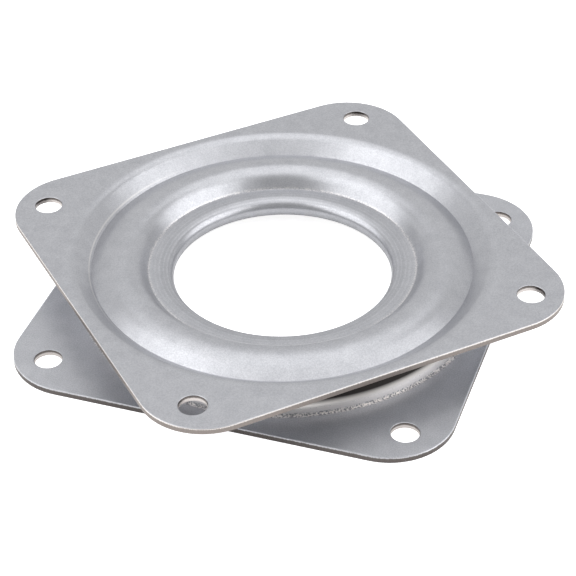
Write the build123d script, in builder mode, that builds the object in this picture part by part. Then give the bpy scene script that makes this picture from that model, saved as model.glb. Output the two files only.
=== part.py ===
"""Small square lazy susan bearing: two stamped steel plates turning on a ring of loose balls.

Millimetres. The origin is on the turning axis at the underside of the bottom plate, +Z up.
Each plate is one stamping. Its section is drawn along the sheet's upper face, from the inner
rim outwards, and the sheet lies below that line. Where the upper face is convex, the radius
that is left on the underside is the one that is set, so a thicker sheet still fits.
"""

from build123d import *
from math import acos, cos, degrees, pi, radians, sin, sqrt
import os

# Sheet steel of both plates
sheet = 1.0

# Flanges: the rounded squares that are screwed down, alike on both plates
plate_side = 70.0
corner_radius = 10.2
hole_inset = 6.55
hole_diameter = 4.3

# How far the top plate stands turned from the bottom plate, in degrees
top_turn = -45.0

# Balls, loose in the groove of the bottom plate, with a small gap from one to the next
ball_diameter = 4.0
ball_gap = 0.15
ball_clearance = 0.05

# Top plate, from the flange inwards: slope, valley, bulge over the balls, and ledge. The two
# plays are how much rounder than a ball the bulge is inside the sheet, on either side of its crest
flange_margin = 0.8
slope_inside_round = 1.8
slope_angle = 38.0
valley_below_flange = 2.33
crest_below_flange = 0.55
bulge_outside_play = 3.9
bulge_outside_angle = 29.0
bulge_inside_play = 0.85
bulge_inside_angle = 52.0
ledge_width = 1.7

# Neck of the top plate: crown and nose, then curled outwards under the bottom plate's rim
crown_inside_round = 2.9
crown_angle = 20.0
neck_straight = 0.1
curl_inside_round = 0.6
curl_reach = 2.5

# Bottom plate: groove for the balls, its two lips, and the steep wall down to the flange
groove_floor = 2.85
groove_play = 0.1
rim_below_ball_centres = 0.7
lip_inside_round = 0.3
lip_above_ball_centres = 0.1
lip_width = 0.35
wall_inside_round = 2.2
wall_angle = 85.0

# Clearances where the neck turns in the rim
running_gap = 0.15
rim_gap = 0.1


def along(radius, turn):
    """How far an arc that leaves the level reaches by the time it has turned this far."""
    return radius * sin(radians(turn))


def down(radius, turn):
    """How far the same arc drops."""
    return radius * (1 - cos(radians(turn)))


def slope(radius, angle, drop):
    """Run and reach of a slope that leaves the level by a round and drops this far in all."""
    run = (drop - down(radius, angle)) / sin(radians(angle))
    return run, along(radius, angle) + run * cos(radians(angle))


# Heights: the balls lie in the groove, and the bulge of the top plate lies on the balls
ball_radius = ball_diameter / 2
ball_height = groove_floor + ball_clearance + ball_radius
lip_top = ball_height + lip_above_ball_centres
crest_top = ball_height + ball_radius + ball_clearance + sheet
flange_top = crest_top + crest_below_flange

# Heights: the ledge, the bottom plate's rim and the curl lie on one another
rim_top = ball_height - rim_below_ball_centres
ledge_top = rim_top + running_gap + sheet
curl_bottom = rim_top - sheet - running_gap - sheet

# Radii of the upper face where it is rounded
slope_round = slope_inside_round + sheet
bulge_outside_round = ball_radius + bulge_outside_play + sheet
bulge_inside_round = ball_radius + bulge_inside_play + sheet
crown_round = crown_inside_round + sheet
curl_round = curl_inside_round + sheet
lip_round = lip_inside_round + sheet
groove_round = ball_radius + groove_play
wall_round = wall_inside_round + sheet

# Top plate, from the side of the square in to the circle of the balls
slope_run, slope_reach = slope(slope_round, slope_angle, valley_below_flange)
slope_top_radius = plate_side / 2 - flange_margin
bulge_outside_run, bulge_outside_reach = slope(
    bulge_outside_round, bulge_outside_angle, valley_below_flange - crest_below_flange
)
ball_circle_radius = slope_top_radius - slope_reach - bulge_outside_reach

# Top plate, from the circle of the balls in to the neck
bulge_inside_run, bulge_inside_reach = slope(
    bulge_inside_round, bulge_inside_angle, crest_top - ledge_top
)
ledge_radius = ball_circle_radius - bulge_inside_reach
crown_radius = ledge_radius - ledge_width
crown_bottom = ledge_top - down(crown_round, crown_angle)
nose_drop = crown_bottom - curl_bottom - curl_round - neck_straight
nose_round = nose_drop / cos(radians(crown_angle))
nose_reach = nose_round - along(nose_round, crown_angle)
neck_radius = crown_radius - along(crown_round, crown_angle) - nose_reach

# Bottom plate: each lip is a round that turns down until it meets the round of the groove
lip_to_groove = lip_round + groove_round
inner_lip_turn = degrees(acos(1 - (rim_top - groove_floor) / lip_to_groove))
outer_lip_turn = degrees(acos(1 - (lip_top - groove_floor) / lip_to_groove))
rim_hole_radius = crown_radius + rim_gap
rim_width = ball_circle_radius - along(lip_to_groove, inner_lip_turn) - rim_hole_radius
wall_top_radius = ball_circle_radius + along(lip_to_groove, outer_lip_turn) + lip_width
wall_run, wall_reach = slope(wall_round, wall_angle, lip_top - sheet)

# The flanges are drawn out past the corners of the square, and cut to it
blank_radius = plate_side / sqrt(2)


def draw_face(start, heading, path, depth):
    """Draw one face of a bent sheet, at a depth below the face that the path describes.

    The path is a list of (run, radius, turn): straight on for the run, then round by the turn
    in degrees, positive to the left. The sheet lies to the right of the path.
    """
    direction = Vector(1, 0).rotate(Axis.Z, heading)
    first = point = Vector(start) - direction.rotate(Axis.Z, 90) * depth
    for run, radius, turn in path:
        if run:
            point = Line(point, point + direction * run) @ 1
        bend = radius + depth if turn > 0 else radius - depth
        if turn and bend:
            point = JernArc(point, direction, bend, turn) @ 1
        direction = direction.rotate(Axis.Z, turn)
    return first, point


def sheet_section(start, heading, path):
    """The section of a bent sheet: its two faces, joined at its two cut ends."""
    with BuildSketch(Plane.XZ) as section:
        with BuildLine():
            upper_ends = draw_face(start, heading, path, 0)
            lower_ends = draw_face(start, heading, path, sheet)
            for upper_end, lower_end in zip(upper_ends, lower_ends):
                Line(upper_end, lower_end)
        make_face()
    return section.sketch


def flange_outline(turn):
    """The rounded square with its four mounting holes, turned about the axis."""
    hole_spacing = plate_side - 2 * hole_inset
    with BuildSketch(Plane.XY.rotated((0, 0, turn))) as outline:
        RectangleRounded(plate_side, plate_side, corner_radius)
        with GridLocations(hole_spacing, hole_spacing, 2, 2):
            Circle(hole_diameter / 2, mode=Mode.SUBTRACT)
    return outline.sketch


bottom_path = [
    (rim_width, lip_round, -inner_lip_turn),
    (0, groove_round, inner_lip_turn + outer_lip_turn),
    (0, lip_round, -outer_lip_turn),
    (lip_width, wall_round, -wall_angle),
    (wall_run, 0, wall_angle),
    (blank_radius - wall_top_radius - wall_reach, 0, 0),
]

with BuildPart() as bottom_plate:
    add(sheet_section((rim_hole_radius, rim_top), 0, bottom_path))
    revolve(axis=Axis.Z)
    extrude(flange_outline(0), amount=flange_top, both=True, mode=Mode.INTERSECT)

curl_end_radius = neck_radius + curl_round + curl_reach
top_path = [
    (curl_reach, curl_round, -90),
    (neck_straight, nose_round, crown_angle - 90),
    (0, crown_round, -crown_angle),
    (ledge_width, 0, bulge_inside_angle),
    (bulge_inside_run, bulge_inside_round, -bulge_inside_angle),
    (0, bulge_outside_round, -bulge_outside_angle),
    (bulge_outside_run, 0, bulge_outside_angle + slope_angle),
    (slope_run, slope_round, -slope_angle),
    (blank_radius - slope_top_radius, 0, 0),
]

with BuildPart() as top_plate:
    add(sheet_section((curl_end_radius, curl_bottom), 180, top_path))
    revolve(axis=Axis.Z)
    extrude(flange_outline(top_turn), amount=2 * flange_top, both=True, mode=Mode.INTERSECT)

os.makedirs("parts", exist_ok=True)
bottom_plate.part.label = "bottom_plate"
top_plate.part.label = "top_plate"
export_step(bottom_plate.part, "parts/bottom_plate.step")
export_step(top_plate.part, "parts/top_plate.step")

# Balls: as many as the groove takes, numbered round the axis from +X
ball_count = int(2 * pi * ball_circle_radius / (ball_diameter + ball_gap))
for number in range(ball_count):
    with BuildPart(Plane.XY.offset(ball_height)) as ball:
        with PolarLocations(ball_circle_radius, 1, start_angle=number * 360 / ball_count):
            Sphere(ball_radius)
    ball.part.label = f"ball_{number + 1:02d}"
    export_step(ball.part, f"parts/{ball.part.label}.step")
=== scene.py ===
"""A small square lazy susan bearing: two stamped galvanised plates and a ring of steel balls."""

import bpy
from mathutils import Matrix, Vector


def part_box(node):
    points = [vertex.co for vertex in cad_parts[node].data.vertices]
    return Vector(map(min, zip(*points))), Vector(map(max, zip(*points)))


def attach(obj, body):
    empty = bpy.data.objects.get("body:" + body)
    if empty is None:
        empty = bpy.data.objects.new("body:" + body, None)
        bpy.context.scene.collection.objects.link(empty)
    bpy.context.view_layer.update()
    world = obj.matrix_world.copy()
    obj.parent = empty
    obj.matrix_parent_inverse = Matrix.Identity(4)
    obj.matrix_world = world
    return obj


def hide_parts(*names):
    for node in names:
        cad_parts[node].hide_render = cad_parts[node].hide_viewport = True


bl_info = {
    "name": "Lazy susan bearing",
    "version": (1, 0, 0),
    "blender": (4, 5, 0),
    "location": "View3D > Sidebar > Bearing",
    "description": "Models the stamped plates and the loose balls of a square turntable bearing",
    "category": "Add Mesh",
}

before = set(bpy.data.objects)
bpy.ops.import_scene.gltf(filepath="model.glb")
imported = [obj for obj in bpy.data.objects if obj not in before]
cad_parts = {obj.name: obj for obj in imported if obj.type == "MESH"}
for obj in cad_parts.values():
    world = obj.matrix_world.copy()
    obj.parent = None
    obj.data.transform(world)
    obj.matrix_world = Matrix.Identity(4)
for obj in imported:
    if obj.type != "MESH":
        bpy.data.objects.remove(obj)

from math import acos, cos, pi, radians, sin, sqrt
from types import SimpleNamespace

import bpy
from bpy.props import FloatProperty, FloatVectorProperty, PointerProperty
from mathutils import Matrix, Quaternion, Vector

MM = 0.001

# How finely the forms are drawn, and the widest bend that is shaded smooth
SPIN_STEPS = 360
HOLE_STEPS = 56
CORNER_STEPS = 4
ARC_STEP = radians(7.5)
BALL_CUTS = 9
MERGE = 0.001 * MM
SMOOTH_ANGLE = radians(32)

# A point belongs to the sheared edge up to this many rolled radii in from the blank's rim, and a
# face to a cut where its normal rises no more than this
EDGE_BAND = 1.01
CUT_RISE = 0.8

# Where the two colours of a cut meet, as a share of the sheet's thickness
EDGE_CHANGE = 0.84
WALL_CHANGE = 0.55

# Patterns on the metals: the width of a patch, and the detail of the noise. The rolls' grain, the
# rubbed specks, the punch's rings and the tear are finer on the real steel, well under 0.1 mm,
# and are drawn as coarse as they need to be to show.
CLOUDS = (2.2 * MM, 3.0)
GRAIN = (0.2 * MM, 2.0)
SPECKS = (0.3 * MM, 1.0)
RINGS = (0.5 * MM, 1.0)
TEAR = (0.18 * MM, 2.0)
OIL = (1.2 * MM, 2.0)

# How much of the zinc's mottle is clouds, the rest being grain, how far the grain takes the
# roughness up and down, and how much less rough the burnished wall is
CLOUD_PART = 0.35
ROUGH_SPREAD = 0.06
BURNISH_SMOOTHING = 0.4

# Heights of the grain and the tear, in the bump of their metals
GRAIN_RISE = 0.012 * MM
TEAR_RISE = 0.03 * MM

# The tear's upper line: how far it wanders, how softly it ends, and how the tear is drawn out
TEAR_WANDER = 0.25 * MM
TEAR_BLEND = 0.08 * MM
TEAR_STRETCH = 0.15

# The painted highlight line outside the valley: how far out from it, on which side, and how wide
LINE_OUT = 0.4 * MM
LINE_SIDE = radians(205)
LINE_CORE, LINE_FADE = 0.05 * MM, 0.15 * MM

# Sockets of a Mix node that mixes colours
SHARE, FIRST, SECOND, MIXED = 0, 6, 7, 2

# The floor: its side in metres, how far it lies below the flange, and the strength of its glow
# to the camera. In reflections the glow rises from the shade under the bearing to the open floor.
FLOOR_SIDE = 4
FLOOR_DROP = 0.02 * MM
CAMERA_GLOW = 0.75
SHADE_RADIUS, SHADE_GLOW = 30 * MM, 0.15
OPEN_RADIUS, OPEN_GLOW = 43 * MM, 0.95

# The softboxes: azimuth and elevation in degrees, width and height in metres
LAMP_DISTANCE = 0.85
LAMPS = (
    ("left", 209, 38, 0.9, 0.95),
    ("right", 5, 32, 0.9, 0.88),
    ("above", 109, 79, 0.9, 0.9),
    ("back", 109, 22, 2.0, 0.8),
)

# The camera of the photograph, in millimetres
CAMERA_PLACE = (86.5, -248.43, 198.73)
CAMERA_AIM = (0.76, 0.32, 0.53)
CAMERA_LENS = 128.2
CAMERA_SENSOR = 36
CAMERA_ROLL = radians(-0.966)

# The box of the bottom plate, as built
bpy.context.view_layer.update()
bottom_low, bottom_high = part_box("bottom_plate")


def length(name, description, default):
    """A size, kept in metres and given in millimetres."""
    return FloatProperty(
        name=name, description=description, default=default * MM, unit="LENGTH", precision=5
    )


def angle(name, description, default):
    """An angle, kept in radians and given in degrees."""
    return FloatProperty(
        name=name, description=description, default=radians(default), subtype="ANGLE"
    )


def power(name, description, default):
    """The power of a lamp, in watts."""
    return FloatProperty(name=name, description=description, default=default, unit="POWER")


def linear(hex_colour):
    """An sRGB hex colour as linear red, green and blue."""
    channels = [int(hex_colour[i : i + 2], 16) / 255 for i in (1, 3, 5)]
    return tuple(c / 12.92 if c <= 0.04045 else ((c + 0.055) / 1.055) ** 2.4 for c in channels)


def colour(name, description, hex_colour):
    """A colour, kept linear and given as sRGB hex."""
    return FloatVectorProperty(
        name=name, description=description, default=linear(hex_colour), subtype="COLOR",
        size=3, min=0, max=1,
    )


class SheetSizes(bpy.types.PropertyGroup):
    """Sizes of the sheet and of the square flanges, alike on both plates."""

    thickness: length("Sheet", "Thickness of the sheet steel", 1.0)
    corner: length("Corner radius", "Radius of the flange's corners", 10.2)
    hole: length("Hole radius", "Radius of the mounting holes", 2.15)
    hole_inset: length("Hole inset", "From a side of the square to the holes' centres", 6.55)
    roll: length("Rolled edge", "Radius that shearing leaves on the punch side of an edge", 0.16)
    burr: length("Die edge", "Radius left on the other side of an edge", 0.05)
    turn: angle("Turn", "How far the top plate stands turned", -45.0)


class BallSizes(bpy.types.PropertyGroup):
    """Sizes of the balls and of their groove."""

    floor: length("Groove floor", "Height of the groove's floor", 2.85)
    clearance: length("Clearance", "Between a ball and each plate", 0.05)
    play: length("Groove play", "How much rounder the groove is than a ball", 0.1)


class TopSizes(bpy.types.PropertyGroup):
    """Section of the top plate, from the flange in to the curl."""

    margin: length("Flange margin", "From the slope to the side of the square", 0.8)
    slope_round: length("Slope round", "Radius under the bend of the slope", 1.8)
    slope_angle: angle("Slope", "Steepest angle of the slope", 38.0)
    valley: length("Valley", "Depth of the valley below the flange", 2.33)
    crest: length("Crest", "Depth of the bulge's crest below the flange", 0.55)
    outside_round: length("Outer round", "Radius under the bulge outside its crest", 5.9)
    outside_angle: angle("Outer slope", "Angle of the bulge's outer side", 29.0)
    inside_round: length("Inner round", "Radius under the bulge inside its crest", 2.85)
    inside_angle: angle("Inner slope", "Angle of the bulge's inner side", 52.0)
    ledge: length("Ledge", "Width of the flat ledge inside the bulge", 1.7)
    crown_round: length("Crown", "Radius under the gentle start of the nose", 2.9)
    crown_angle: angle("Crown turn", "How far the crown turns down", 20.0)
    neck: length("Neck", "Straight height of the neck", 0.1)
    curl_round: length("Curl round", "Radius inside the curl", 0.6)
    curl_reach: length("Curl", "Flat width of the curl", 2.5)
    gap: length("Running gap", "Between the neck and the bottom plate's rim", 0.15)


class BottomSizes(bpy.types.PropertyGroup):
    """Section of the bottom plate, from the rim out to the flange."""

    rim_drop: length("Rim", "Depth of the inner rim below the balls' centres", 0.7)
    lip_round: length("Lip round", "Radius under each lip of the groove", 0.3)
    lip_height: length("Outer lip", "Height of the outer lip above the balls' centres", 0.1)
    lip_width: length("Lip width", "Flat width of the outer lip", 0.35)
    wall_round: length("Wall round", "Radius under the shoulder of the wall", 2.2)
    wall_angle: angle("Wall", "Angle of the wall at its foot", 85.0)
    rim_gap: length("Rim gap", "Between the nose of the neck and the rim's edge", 0.1)


class Finishes(bpy.types.PropertyGroup):
    """Colours of the metals."""

    zinc: colour("Zinc", "Galvanised sheet", "#C1C2C6")
    zinc_dark: colour("Dull zinc", "Duller patches of the galvanised sheet", "#A9AAAF")
    cut: colour("Cut edge", "Torn bare steel of a sheared edge", "#817A76")
    # Burnished steel, its light tone partly a painted highlight on the top plate's edge
    burnish: colour("Burnish", "Bright steel above the tear of a sheared edge", "#D8D4D1")
    # A dark steel grey: the lower plate's torn edge and the upper part of the hole walls
    dark_steel: colour("Dirt", "Dull edge of the lower plate, and the rolled rim of a hole", "#5C5755")
    punched: colour("Punched wall", "Zinc wiped over the wall of a hole", "#C4BEBB")
    # Real galling, and also the colour of the painted highlights on both plates
    galling_and_highlight: colour("Galling", "Bare bright metal where the tool rubbed", "#F4F0ED")
    # Painted shade: near black on the shoulder, in the shade of the top plate's edge
    grease: colour("Grease", "Dark grease film thrown out of the ball ring", "#2E2C2B")
    ball: colour("Ball steel", "Ground ball steel", "#B4B4B4")


class StageSettings(bpy.types.PropertyGroup):
    """The floor and the lamps."""

    floor: colour("Floor", "Pale studio floor", "#F4F4F4")
    left: power("Left softbox", "Power of the softbox at the left", 4.2)
    right: power("Right softbox", "Power of the softbox at the right", 4.2)
    above: power("Overhead softbox", "Power of the softbox above", 2.7)
    back: power("Back softbox", "Power of the low softbox behind", 1.95)
    room: FloatProperty(name="Room", description="Strength of the even light", default=0.5)


def settings(name):
    """One of the property groups, as the scene holds it."""
    return getattr(bpy.context.scene, f"bearing_{name}")


# Drawing and spinning sections


def along(radius, turn):
    """How far an arc that leaves the level reaches by the time it has turned this far."""
    return radius * sin(turn)


def down(radius, turn):
    """How far the same arc drops."""
    return radius * (1 - cos(turn))


def slope(radius, turn, drop):
    """Run and reach of a slope that leaves the level by a round and drops this far in all."""
    run = (drop - down(radius, turn)) / sin(turn)
    return run, along(radius, turn) + run * cos(turn)


def face_points(start, heading, path, depth):
    """Points of one face of a bent sheet, at a depth below the face that the path describes.

    The path is a list of (run, radius, turn): straight on for the run, then round by the turn,
    positive to the left. The sheet lies to the right of the path.
    """
    direction = Vector((cos(heading), sin(heading)))
    points = [Vector(start) + Vector((direction.y, -direction.x)) * depth]
    for run, radius, turn in path:
        if run:
            points.append(points[-1] + direction * run)
        bend = radius + depth if turn > 0 else radius - depth
        if turn and bend > 0:
            side = Vector((-direction.y, direction.x)) * (1 if turn > 0 else -1)
            centre = points[-1] + side * bend
            first = points[-1] - centre
            steps = max(2, round(abs(turn) / ARC_STEP))
            for k in range(1, steps + 1):
                points.append(centre + Matrix.Rotation(turn * k / steps, 2) @ first)
        direction = Matrix.Rotation(turn, 2) @ direction
    return points


def rolled_corner(corner, to_end, to_back, radius):
    """Points round one corner of a sheared end, from the sheet's face to its cut."""
    centre = corner - (to_end + to_back) * radius
    turns = [k / CORNER_STEPS * pi / 2 for k in range(CORNER_STEPS + 1)]
    return [centre + (to_back * cos(turn) + to_end * sin(turn)) * radius for turn in turns]


def sheet_outline(start, heading, path):
    """The closed outline of a bent sheet's section, with its sheared ends rolled and burred."""
    sheet = settings("sheet")
    upper = face_points(start, heading, path, 0)
    lower = face_points(start, heading, path, sheet.thickness)
    ends = []
    for near in (0, -1):
        across = (upper[near] - lower[near]).normalized()
        outward = (upper[near] - upper[1 if near == 0 else -2]).normalized()
        ends.append(
            (
                rolled_corner(upper[near], outward, across, sheet.roll),
                rolled_corner(lower[near], outward, -across, sheet.burr),
            )
        )
    first, last = ends
    return [*upper[1:-1], *last[0], *last[1][::-1], *lower[-2:0:-1], *first[1], *first[0][::-1]]


def start_piece(name):
    """A new mesh object of a single point at the origin, open for editing."""
    bpy.ops.object.select_all(action="DESELECT")
    bpy.ops.mesh.primitive_plane_add(size=MM, location=(0, 0, 0))
    piece = bpy.context.object
    piece.name = piece.data.name = name
    bpy.ops.object.mode_set(mode="EDIT")
    bpy.ops.mesh.select_mode(type="VERT")
    bpy.ops.mesh.select_all(action="SELECT")
    bpy.ops.mesh.merge(type="CENTER")
    return piece


def spin_section(name, points, centre=(0, 0, 0), steps=SPIN_STEPS, closed=True):
    """Draw a section point by point in the plane of X and Z, and spin it round an upright axis."""
    piece = start_piece(name)
    shift = Vector(centre)
    places = [Vector((p[0], 0, p[1])) + shift for p in points]
    if closed:
        places.append(places[0])
    bpy.ops.transform.translate(value=places[0])
    for here, there in zip(places, places[1:]):
        bpy.ops.mesh.extrude_vertices_move(TRANSFORM_OT_translate={"value": there - here})
    bpy.ops.mesh.select_all(action="SELECT")
    bpy.ops.mesh.remove_doubles(threshold=MERGE)
    bpy.ops.mesh.spin(steps=steps, angle=2 * pi, center=centre, axis=(0, 0, 1))
    bpy.ops.mesh.select_all(action="SELECT")
    bpy.ops.mesh.remove_doubles(threshold=MERGE)
    bpy.ops.mesh.normals_make_consistent(inside=False)
    bpy.ops.object.mode_set(mode="OBJECT")
    return piece


def select_only(*pieces):
    """Select these pieces and nothing else, and make the first one active."""
    bpy.ops.object.select_all(action="DESELECT")
    for piece in pieces:
        piece.select_set(True)
    bpy.context.view_layer.objects.active = pieces[0]


def apply_modifier(piece, kind, **values):
    """Add one modifier with its settings and apply it."""
    select_only(piece)
    modifier = piece.modifiers.new(kind.title(), kind)
    for name, value in values.items():
        setattr(modifier, name, value)
    bpy.ops.object.modifier_apply(modifier=modifier.name)


# The square flanges


def square_reach(side, corner, azimuth):
    """Where a ray from the axis leaves a rounded square, and the outline's outward normal."""
    quarter = round(azimuth / (pi / 2)) * (pi / 2)
    local = azimuth - quarter
    half, core = side / 2, side / 2 - corner
    if abs(half * sin(local) / cos(local)) <= core:
        reach, normal = half / cos(local), Vector((1, 0))
    else:
        ray = Vector((cos(local), sin(local)))
        middle = Vector((core, core if local > 0 else -core))
        reach = ray.dot(middle) + sqrt(corner**2 - (middle - ray * ray.dot(middle)).length_squared)
        normal = (ray * reach - middle) / corner
    return reach, Matrix.Rotation(quarter, 2) @ normal


def square_the_edge(piece, blank_radius, side, turn):
    """Move the spun edge of a plate out or in to the rounded square, keeping its rolled form."""
    sheet = settings("sheet")
    for vertex in piece.data.vertices:
        flat = Vector(vertex.co.xy)
        inset = blank_radius - flat.length
        if inset < sheet.roll * EDGE_BAND:
            azimuth = Vector((1, 0)).angle_signed(flat) * -1 - turn
            reach, normal = square_reach(side, sheet.corner, azimuth)
            ray = Matrix.Rotation(azimuth, 2) @ Vector((1, 0))
            vertex.co.xy = Matrix.Rotation(turn, 2) @ (ray * reach - normal * inset)


def hole_centres(side, turn):
    """The four corners of the hole pattern."""
    reach = (side / 2 - settings("sheet").hole_inset) * sqrt(2)
    return [
        Vector((cos(a), sin(a))) * reach for a in (turn + radians(45 + 90 * k) for k in range(4))
    ]


def punch_holes(piece, side, turn, face_low):
    """Punch the four holes, each rolled in at the punch side and burred at the other."""
    sheet = settings("sheet")
    beyond = sheet.thickness
    face_high = face_low + sheet.thickness
    rolled = rolled_corner(
        Vector((sheet.hole, face_high)), Vector((-1, 0)), Vector((0, 1)), sheet.roll
    )
    burred = rolled_corner(
        Vector((sheet.hole, face_low)), Vector((-1, 0)), Vector((0, -1)), sheet.burr
    )
    outline = [
        Vector((0, face_high + beyond)),
        Vector((sheet.hole + sheet.roll, face_high + beyond)),
        *rolled,
        *burred[::-1],
        Vector((sheet.hole + sheet.burr, face_low - beyond)),
        Vector((0, face_low - beyond)),
    ]
    punches = [
        spin_section("punch", outline, (centre.x, centre.y, 0), HOLE_STEPS, closed=False)
        for centre in hole_centres(side, turn)
    ]
    select_only(*punches)
    bpy.ops.object.join()
    apply_modifier(piece, "BOOLEAN", operation="DIFFERENCE", solver="EXACT", object=punches[0])
    bpy.data.objects.remove(punches[0])


def mark_cut_faces(piece, side, turn):
    """Give the upright faces their bare steel: slot 1 round the outline, slot 2 in the holes."""
    sheet = settings("sheet")
    centres = hole_centres(side, turn)
    for face in piece.data.polygons:
        if abs(face.normal.z) > CUT_RISE:
            continue
        flat = face.center.xy
        reach, _ = square_reach(side, sheet.corner, Vector((1, 0)).angle_signed(flat) * -1 - turn)
        if flat.length > reach - 2 * sheet.roll:
            face.material_index = 1
        elif any((flat - centre).length < sheet.hole + sheet.roll for centre in centres):
            face.material_index = 2


def finish_plate(piece, side, turn, face_low, zinc, above, torn):
    """Square and punch a spun plate, give it its metals and shade it."""
    finish = settings("finish")
    square_the_edge(piece, side / sqrt(2), side, turn)
    punch_holes(piece, side, turn, face_low)
    for metal in (
        zinc,
        sheared_edge(f"{piece.name}_sheared_edge", face_low, above, torn, EDGE_CHANGE),
        sheared_edge(
            f"{piece.name}_hole_wall", face_low, finish.dark_steel, finish.punched, WALL_CHANGE
        ),
    ):
        piece.data.materials.append(metal)
    mark_cut_faces(piece, side, turn)
    select_only(piece)
    bpy.ops.object.shade_smooth_by_angle(angle=SMOOTH_ANGLE)
    apply_modifier(piece, "WEIGHTED_NORMAL", keep_sharp=True, weight=50)


# Materials


def open_nodes(owner):
    """Clear the nodes of a material or world, and give the function that adds one to it."""
    owner.use_nodes = True
    tree = owner.node_tree
    tree.nodes.clear()

    def add(kind, inputs=None, **values):
        """Add a shader node with its settings, values and links, and give its outputs."""
        node = tree.nodes.new(f"ShaderNode{kind}")
        for key, value in values.items():
            setattr(node, key, value)
        for key, value in (inputs or {}).items():
            if isinstance(value, bpy.types.NodeSocket):
                tree.links.new(value, node.inputs[key])
            else:
                node.inputs[key].default_value = value
        return node.outputs

    return add


def rgba(values, brightness=1):
    """A linear colour with full alpha, made darker where the brightness is under 1."""
    return (*(channel * brightness for channel in values), 1)


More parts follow.
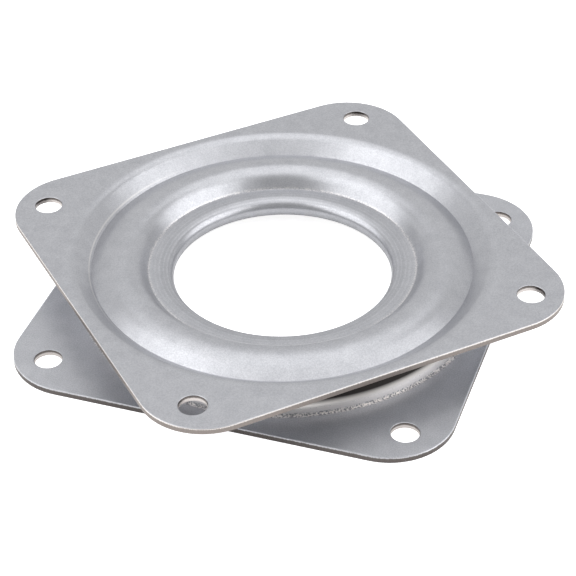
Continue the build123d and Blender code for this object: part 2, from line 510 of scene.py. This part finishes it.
def galvanised_sheet(name, crease, band, shine, roughness, grease_height=None, highlight_line=None):
    """Hot-dip galvanised cold-rolled sheet, stamped: a satin zinc grey with a fine mottle.

    The zinc's skin is matt and a little cloudy at a few millimetres, with the fine grain that
    the rolls left. Where the draw ring rubbed, in a band along the crease, bare specks shine in
    a rough line. On the lower plate the drawn wall inside the crease is burnished and painted
    near white, partly as a painted highlight, and round the shade height and above it a near
    black painted shade darkens the shoulder's upward faces, where the top plate's edge shades
    them. On the upper plate a painted highlight, a faint light line on one side of the valley's
    crease, stands in for light caught there, and the ledge and crown keep fine rings from the
    punch.
    """
    finish = settings("finish")
    made = bpy.data.materials.new(name)
    add = open_nodes(made)

    # Where a point lies: its height, its reach from the axis, and how far it is off the crease
    place = add("TexCoord")["Object"]
    x, y, height = add("SeparateXYZ", {0: place})
    flat = add("CombineXYZ", {0: x, 1: y})[0]
    reach = add("VectorMath", {0: flat}, operation="LENGTH")["Value"]
    crease_radius, crease_height = crease
    beside = add("Math", {0: reach, 1: crease_radius}, operation="SUBTRACT")[0]
    above = add("Math", {0: height, 1: crease_height}, operation="SUBTRACT")[0]
    offset = add("CombineXYZ", {0: beside, 1: above})[0]
    away = add("VectorMath", {0: offset}, operation="LENGTH")["Value"]

    # The skin: clouds and grain between two greys of zinc
    clouds, grain, specks = (
        add("TexNoise", {"Vector": place, "Scale": 1 / width, "Detail": detail})[0]
        for width, detail in (CLOUDS, GRAIN, SPECKS)
    )
    tone = 0.0
    for noise, low, high, part in (
        (clouds, 0.3, 0.7, CLOUD_PART),
        (grain, 0.35, 0.65, 1 - CLOUD_PART),
    ):
        spread = add("MapRange", {"Value": noise, "From Min": low, "From Max": high})[0]
        tone = add("Math", {0: spread, 1: part, 2: tone}, operation="MULTIPLY_ADD")[0]
    skin = add(
        "Mix",
        {SHARE: tone, FIRST: rgba(finish.zinc), SECOND: rgba(finish.zinc_dark)},
        data_type="RGBA",
    )[MIXED]

    # What lies over it: a strength and a colour, and ramps from where each layer starts to
    # where it is full
    layers = {}
    if highlight_line:
        highlight_radius, side = highlight_line
        off_highlight = add("Math", {0: reach, 1: highlight_radius}, operation="SUBTRACT")[0]
        off_highlight = add("Math", {0: off_highlight}, operation="ABSOLUTE")[0]
        toward = (cos(side), sin(side), 0)
        sideways = add("VectorMath", {0: place, 1: toward}, operation="DOT_PRODUCT")["Value"]
        width, detail = RINGS
        waves = add(
            "TexNoise", {"W": reach, "Scale": 1 / width, "Detail": detail}, noise_dimensions="1D"
        )[0]
        # Painted highlight: a thin light line outside the valley, on one side only
        layers["draw_line"] = (
            0.35,
            rgba(finish.galling_and_highlight),
            [(off_highlight, LINE_FADE, LINE_CORE), (sideways, 0.4 * highlight_radius, 0.8 * highlight_radius)],
        )
        layers["punch_rings"] = (
            0.35,
            rgba(finish.zinc_dark, 0.8),
            [(waves, 0.45, 0.6), (reach, crease_radius, crease_radius - 1.0 * MM)],
        )
    if grease_height:
        normal = add("NewGeometry")["Normal"]
        upward = add("SeparateXYZ", {0: normal})["Z"]
        # Burnished steel inside the foot, painted near white partly as the wall's highlight
        layers["burnish"] = (
            1.0,
            rgba(finish.galling_and_highlight),
            [(reach, crease_radius + 0.1 * MM, crease_radius - 0.1 * MM)],
        )
        layers["beads"] = (
            1.0,
            rgba(finish.zinc, 0.6),
            [(away, band, 0.6 * band), (specks, 0.6, 0.4)],
        )
        # Painted shade: the shoulder's upward faces turn near black in the top plate's shade
        layers["grease"] = (
            1.0,
            rgba(finish.grease),
            [(height, grease_height - 0.7 * MM, grease_height + 0.4 * MM), (upward, 0.0, 0.1)],
        )
    layers["rubbed"] = (
        shine,
        rgba(finish.galling_and_highlight),
        [(away, band, 0.4 * band), (specks, 0.4, 0.6)],
    )
    shares = {}
    for layer, (strength, tint, ramps) in layers.items():
        share = strength
        for value, start, full in ramps:
            ramp = add("MapRange", {"Value": value, "From Min": start, "From Max": full})[0]
            share = add("Math", {0: ramp, 1: share}, operation="MULTIPLY")[0]
        skin = add("Mix", {SHARE: share, FIRST: skin, SECOND: tint}, data_type="RGBA")[MIXED]
        shares[layer] = share

    # The grain roughens it and the rubbed specks stand proud, while the burnished wall is smooth
    rough = add(
        "MapRange",
        {
            "Value": grain,
            "From Min": 0.3,
            "From Max": 0.7,
            "To Min": roughness - ROUGH_SPREAD,
            "To Max": roughness + ROUGH_SPREAD,
        },
    )[0]
    if grease_height:
        bare = add("Math", {0: shares["burnish"], 1: shares["grease"]}, operation="SUBTRACT")[0]
        kept = add(
            "Math", {0: bare, 1: -BURNISH_SMOOTHING, 2: 1.0}, operation="MULTIPLY_ADD"
        )[0]
        rough = add("Math", {0: rough, 1: kept}, operation="MULTIPLY")[0]
    relief = add("Math", {0: grain, 1: shares["rubbed"]}, operation="ADD")[0]
    bump = add("Bump", {"Strength": 0.3, "Distance": GRAIN_RISE, "Height": relief})[0]
    shader = add(
        "BsdfPrincipled",
        {"Base Color": skin, "Metallic": 1.0, "Roughness": rough, "Normal": bump},
    )[0]
    add("OutputMaterial", {"Surface": shader})
    return made


def sheared_edge(name, face_low, above, below, change):
    """Low-carbon steel where the blank was sheared or punched: smooth above, torn below.

    The two colours meet in a ragged line, at this share of the sheet's thickness.
    """
    made = bpy.data.materials.new(name)
    add = open_nodes(made)
    width, detail = TEAR
    place = add("TexCoord")["Object"]
    streaks = add("Mapping", {"Vector": place, "Scale": (1, 1, TEAR_STRETCH)})[0]
    tear = add("TexNoise", {"Vector": streaks, "Scale": 1 / width, "Detail": detail})[0]
    height = add("SeparateXYZ", {0: place})["Z"]
    height = add("Math", {0: tear, 1: -TEAR_WANDER, 2: height}, operation="MULTIPLY_ADD")[0]
    meeting = face_low + change * settings("sheet").thickness - TEAR_WANDER / 2
    torn = add(
        "MapRange",
        {"Value": height, "From Min": meeting + TEAR_BLEND, "From Max": meeting - TEAR_BLEND},
    )[0]
    rough = add("MapRange", {"Value": torn, "To Min": 0.3, "To Max": 0.5})[0]
    lower = add(
        "Mix", {SHARE: tear, FIRST: rgba(below), SECOND: rgba(below, 0.75)}, data_type="RGBA"
    )[MIXED]
    bare = add("Mix", {SHARE: torn, FIRST: rgba(above), SECOND: lower}, data_type="RGBA")[MIXED]
    bump = add("Bump", {"Strength": 0.5, "Distance": TEAR_RISE, "Height": tear})[0]
    shader = add(
        "BsdfPrincipled",
        {"Base Color": bare, "Metallic": 1.0, "Roughness": rough, "Normal": bump},
    )[0]
    add("OutputMaterial", {"Surface": shader})
    return made


def ball_steel():
    """Ground and lapped chromium steel, lightly oiled: a clear mirror with faint cloudiness."""
    made = bpy.data.materials.new("ball_steel")
    add = open_nodes(made)
    width, detail = OIL
    place = add("TexCoord")["Object"]
    oil = add("TexNoise", {"Vector": place, "Scale": 1 / width, "Detail": detail})[0]
    rough = add(
        "MapRange",
        {"Value": oil, "From Min": 0.3, "From Max": 0.7, "To Min": 0.1, "To Max": 0.22},
    )[0]
    tint = rgba(settings("finish").ball)
    shader = add("BsdfPrincipled", {"Base Color": tint, "Metallic": 1.0, "Roughness": rough})[0]
    add("OutputMaterial", {"Surface": shader})
    return made


def studio_floor():
    """Matt white sweep: it takes the object's shadow and stays white round it.

    Reflections see it nearly white beside the bearing, and dim in the shade under it.
    """
    made = bpy.data.materials.new("studio_floor")
    add = open_nodes(made)
    place = add("TexCoord")["Object"]
    away = add("VectorMath", {0: place}, operation="LENGTH")["Value"]
    mirrored = add(
        "MapRange",
        {
            "Value": away,
            "From Min": SHADE_RADIUS,
            "From Max": OPEN_RADIUS,
            "To Min": SHADE_GLOW,
            "To Max": OPEN_GLOW,
        },
    )[0]
    path = add("LightPath")
    strength = 0.0
    for ray, share in (
        ("Is Camera Ray", CAMERA_GLOW),
        ("Is Glossy Ray", mirrored),
        ("Is Transmission Ray", mirrored),
    ):
        strength = add("Math", {0: path[ray], 1: share, 2: strength}, operation="MULTIPLY_ADD")[0]
    matt = add("BsdfDiffuse", {"Color": rgba(settings("stage").floor)})[0]
    glow = add("Emission", {"Color": (1, 1, 1, 1), "Strength": strength})[0]
    both = add("AddShader", {0: matt, 1: glow})[0]
    add("OutputMaterial", {"Surface": both})
    return made


# Building the pieces


def bearing_form():
    """Heights and radii that both plates share, from the groove's floor up and the sides in."""
    sheet, ball, top, bottom = (settings(n) for n in ("sheet", "ball", "top", "bottom"))
    ball_low, ball_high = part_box("ball_01")
    form = SimpleNamespace(side=bottom_high.x - bottom_low.x)
    form.ball_radius = (ball_high.z - ball_low.z) / 2
    form.ball_height = ball.floor + ball.clearance + form.ball_radius
    form.rim_top = form.ball_height - bottom.rim_drop
    form.ledge_top = form.rim_top + top.gap + sheet.thickness
    form.crest_top = form.ball_height + form.ball_radius + ball.clearance + sheet.thickness
    form.flange_top = form.crest_top + top.crest
    slope_round = top.slope_round + sheet.thickness
    form.slope_run, slope_reach = slope(slope_round, top.slope_angle, top.valley)
    form.slope_top = form.side / 2 - top.margin
    outside_round = top.outside_round + sheet.thickness
    outside_drop = top.valley - top.crest
    form.outside_run, outside_reach = slope(outside_round, top.outside_angle, outside_drop)
    form.valley = form.slope_top - slope_reach
    form.circle = form.valley - outside_reach
    inside_round = top.inside_round + sheet.thickness
    inside_drop = form.crest_top - form.ledge_top
    form.inside_run, inside_reach = slope(inside_round, top.inside_angle, inside_drop)
    form.ledge_outer = form.circle - inside_reach
    form.ledge_inner = form.ledge_outer - top.ledge
    return form


def build_bottom_plate():
    """The lower stamping: rim, ball groove, shoulder, steep wall and flange."""
    sheet, ball, bottom = (settings(n) for n in ("sheet", "ball", "bottom"))
    form = bearing_form()
    lip = bottom.lip_round + sheet.thickness
    groove = form.ball_radius + ball.play
    wall = bottom.wall_round + sheet.thickness
    lip_top = form.ball_height + bottom.lip_height
    inner_turn = acos(1 - (form.rim_top - ball.floor) / (lip + groove))
    outer_turn = acos(1 - (lip_top - ball.floor) / (lip + groove))
    rim_start = form.ledge_inner + bottom.rim_gap
    rim_width = form.circle - along(lip + groove, inner_turn) - rim_start
    wall_top = form.circle + along(lip + groove, outer_turn) + bottom.lip_width
    wall_run, wall_reach = slope(wall, bottom.wall_angle, lip_top - sheet.thickness)
    path = [
        (rim_width, lip, -inner_turn),
        (0, groove, inner_turn + outer_turn),
        (0, lip, -outer_turn),
        (bottom.lip_width, wall, -bottom.wall_angle),
        (wall_run, 0, bottom.wall_angle),
        (form.side / sqrt(2) - wall_top - wall_reach, 0, 0),
    ]
    outline = sheet_outline((rim_start, form.rim_top), 0, path)
    piece = spin_section("bottom_plate_stamping", outline)
    foot = (wall_top + wall_reach, sheet.thickness)
    zinc = galvanised_sheet(
        "galvanised_sheet_lower",
        foot,
        band=0.55 * MM,
        shine=0.9,
        roughness=0.5,
        # Height of the painted shade on the shoulder
        grease_height=2.9 * MM,
    )
    finish = settings("finish")
    finish_plate(piece, form.side, 0, 0, zinc, finish.zinc, finish.dark_steel)
    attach(piece, "base")
    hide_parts("bottom_plate")


def build_top_plate():
    """The upper stamping: curl, neck, nose, crown, ledge, bulge, valley, slope and flange."""
    sheet, top = settings("sheet"), settings("top")
    form = bearing_form()
    curl = top.curl_round + sheet.thickness
    curl_bottom = form.rim_top - 2 * sheet.thickness - top.gap
    crown = top.crown_round + sheet.thickness
    nose_drop = form.ledge_top - down(crown, top.crown_angle) - curl_bottom - curl - top.neck
    nose = nose_drop / cos(top.crown_angle)
    nose_reach = nose - along(nose, top.crown_angle)
    neck_radius = form.ledge_inner - along(crown, top.crown_angle) - nose_reach
    path = [
        (top.curl_reach, curl, -pi / 2),
        (top.neck, nose, top.crown_angle - pi / 2),
        (0, crown, -top.crown_angle),
        (top.ledge, 0, top.inside_angle),
        (form.inside_run, top.inside_round + sheet.thickness, -top.inside_angle),
        (0, top.outside_round + sheet.thickness, -top.outside_angle),
        (form.outside_run, 0, top.outside_angle + top.slope_angle),
        (form.slope_run, top.slope_round + sheet.thickness, -top.slope_angle),
        (form.side / sqrt(2) - form.slope_top, 0, 0),
    ]
    outline = sheet_outline((neck_radius + curl + top.curl_reach, curl_bottom), pi, path)
    piece = spin_section("top_plate_stamping", outline)
    foot = (form.ledge_outer, form.ledge_top)
    zinc = galvanised_sheet(
        "galvanised_sheet_upper",
        foot,
        band=0.4 * MM,
        shine=0.4,
        roughness=0.34,
        # The painted highlight line, just outside the valley on one side
        highlight_line=(form.valley + LINE_OUT, LINE_SIDE),
    )
    face_low = form.flange_top - sheet.thickness
    finish = settings("finish")
    # The cut edge's light top is burnished steel, partly a painted highlight
    finish_plate(piece, form.side, sheet.turn, face_low, zinc, finish.burnish, finish.cut)
    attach(piece, "turntable")
    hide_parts("top_plate")


def build_balls():
    """The loose balls: one is shaped from a block, and copied to each place in the groove."""
    nodes = sorted(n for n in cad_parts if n.startswith("ball_"))
    low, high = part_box(nodes[0])
    radius = (high.z - low.z) / 2
    bpy.ops.object.select_all(action="DESELECT")
    bpy.ops.mesh.primitive_cube_add(size=2 * radius, location=(0, 0, 0))
    pattern = bpy.context.object
    bpy.ops.object.mode_set(mode="EDIT")
    bpy.ops.mesh.select_all(action="SELECT")
    bpy.ops.mesh.subdivide(number_cuts=BALL_CUTS)
    bpy.ops.transform.tosphere(value=1.0)
    bpy.ops.object.mode_set(mode="OBJECT")
    # To Sphere rounds to the mean of the block's points, so each one is set to the ball's radius
    for vertex in pattern.data.vertices:
        vertex.co = vertex.co.normalized() * radius
    bpy.ops.object.shade_smooth()
    pattern.data.materials.append(ball_steel())
    for node in nodes:
        low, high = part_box(node)
        select_only(pattern)
        bpy.ops.object.duplicate()
        piece = bpy.context.object
        piece.name = piece.data.name = f"steel_{node}"
        bpy.ops.transform.translate(value=(low + high) / 2)
        bpy.ops.object.transform_apply(location=True, rotation=False, scale=False)
        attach(piece, "ball_ring")
        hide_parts(node)
    bpy.data.objects.remove(pattern)


def build_stage():
    """A white sweep, soft lamps at both sides and above, and the camera of the photograph."""
    stage = settings("stage")
    bpy.ops.object.select_all(action="DESELECT")
    bpy.ops.mesh.primitive_plane_add(size=FLOOR_SIDE, location=(0, 0, -FLOOR_DROP))
    floor = bpy.context.object
    floor.name = "floor"
    floor.data.materials.append(studio_floor())

    for name, azimuth, elevation, width, height in LAMPS:
        flat = Vector((cos(radians(azimuth)), sin(radians(azimuth)), 0)) * cos(radians(elevation))
        place = (flat + Vector((0, 0, sin(radians(elevation))))) * LAMP_DISTANCE
        bpy.ops.object.light_add(type="AREA", location=place)
        lamp = bpy.context.object
        lamp.name = f"softbox_{name}"
        lamp.data.shape = "RECTANGLE"
        lamp.data.size, lamp.data.size_y = width, height
        lamp.data.energy = getattr(stage, name)
        lamp.rotation_mode = "QUATERNION"
        lamp.rotation_quaternion = (-place).to_track_quat("-Z", "Y")

    # The room: an even light, and plain white where the camera looks past the floor
    world = bpy.context.scene.world or bpy.data.worlds.new("room")
    bpy.context.scene.world = world
    add = open_nodes(world)
    seen = add("LightPath")["Is Camera Ray"]
    level = add("Mix", {"Factor": seen, "A": stage.room, "B": 1.0})[0]
    light = add("Background", {"Color": (1, 1, 1, 1), "Strength": level})[0]
    add("OutputWorld", {"Surface": light})

    place, aim = Vector(CAMERA_PLACE) * MM, Vector(CAMERA_AIM) * MM
    bpy.ops.object.camera_add(location=place)
    camera = bpy.context.object
    camera.name = "camera"
    camera.data.lens = CAMERA_LENS
    camera.data.sensor_width = CAMERA_SENSOR
    camera.data.clip_start = 1 * MM
    camera.rotation_mode = "QUATERNION"
    level_view = (aim - place).to_track_quat("-Z", "Y")
    camera.rotation_quaternion = level_view @ Quaternion((0, 0, 1), CAMERA_ROLL)
    bpy.context.scene.camera = camera
    bpy.context.scene.view_settings.view_transform = "Standard"


class BEARING_OT_bottom_plate(bpy.types.Operator):
    """Model the bottom plate of the bearing"""

    bl_idname = "bearing.bottom_plate"
    bl_label = "Bottom plate"

    def execute(self, context):
        build_bottom_plate()
        return {"FINISHED"}


class BEARING_OT_top_plate(bpy.types.Operator):
    """Model the top plate of the bearing"""

    bl_idname = "bearing.top_plate"
    bl_label = "Top plate"

    def execute(self, context):
        build_top_plate()
        return {"FINISHED"}


class BEARING_OT_balls(bpy.types.Operator):
    """Model the balls of the bearing"""

    bl_idname = "bearing.balls"
    bl_label = "Balls"

    def execute(self, context):
        build_balls()
        return {"FINISHED"}


class BEARING_OT_stage(bpy.types.Operator):
    """Set up the floor, the lamps and the camera"""

    bl_idname = "bearing.stage"
    bl_label = "Stage"

    def execute(self, context):
        build_stage()
        return {"FINISHED"}


class BEARING_PT_panel(bpy.types.Panel):
    """Sizes, finishes and the steps that build the bearing"""

    bl_label = "Lazy susan bearing"
    bl_idname = "BEARING_PT_panel"
    bl_space_type = "VIEW_3D"
    bl_region_type = "UI"
    bl_category = "Bearing"

    def draw(self, context):
        layout = self.layout
        for name in PROPERTY_GROUPS:
            group = settings(name)
            box = layout.box()
            for key in group.__annotations__:
                box.prop(group, key)
        for operator in OPERATORS:
            layout.operator(operator.bl_idname)


PROPERTY_GROUPS = {
    "sheet": SheetSizes,
    "ball": BallSizes,
    "top": TopSizes,
    "bottom": BottomSizes,
    "finish": Finishes,
    "stage": StageSettings,
}
OPERATORS = (
    BEARING_OT_bottom_plate,
    BEARING_OT_top_plate,
    BEARING_OT_balls,
    BEARING_OT_stage,
)


def register():
    for name, group in PROPERTY_GROUPS.items():
        bpy.utils.register_class(group)
        setattr(bpy.types.Scene, f"bearing_{name}", PointerProperty(type=group))
    for operator in OPERATORS:
        bpy.utils.register_class(operator)
    bpy.utils.register_class(BEARING_PT_panel)


def unregister():
    bpy.utils.unregister_class(BEARING_PT_panel)
    for operator in reversed(OPERATORS):
        bpy.utils.unregister_class(operator)
    for name, group in PROPERTY_GROUPS.items():
        delattr(bpy.types.Scene, f"bearing_{name}")
        bpy.utils.unregister_class(group)


def main():
    register()
    bpy.ops.bearing.bottom_plate()
    bpy.ops.bearing.top_plate()
    bpy.ops.bearing.balls()
    bpy.ops.bearing.stage()


if __name__ == "__main__":
    main()
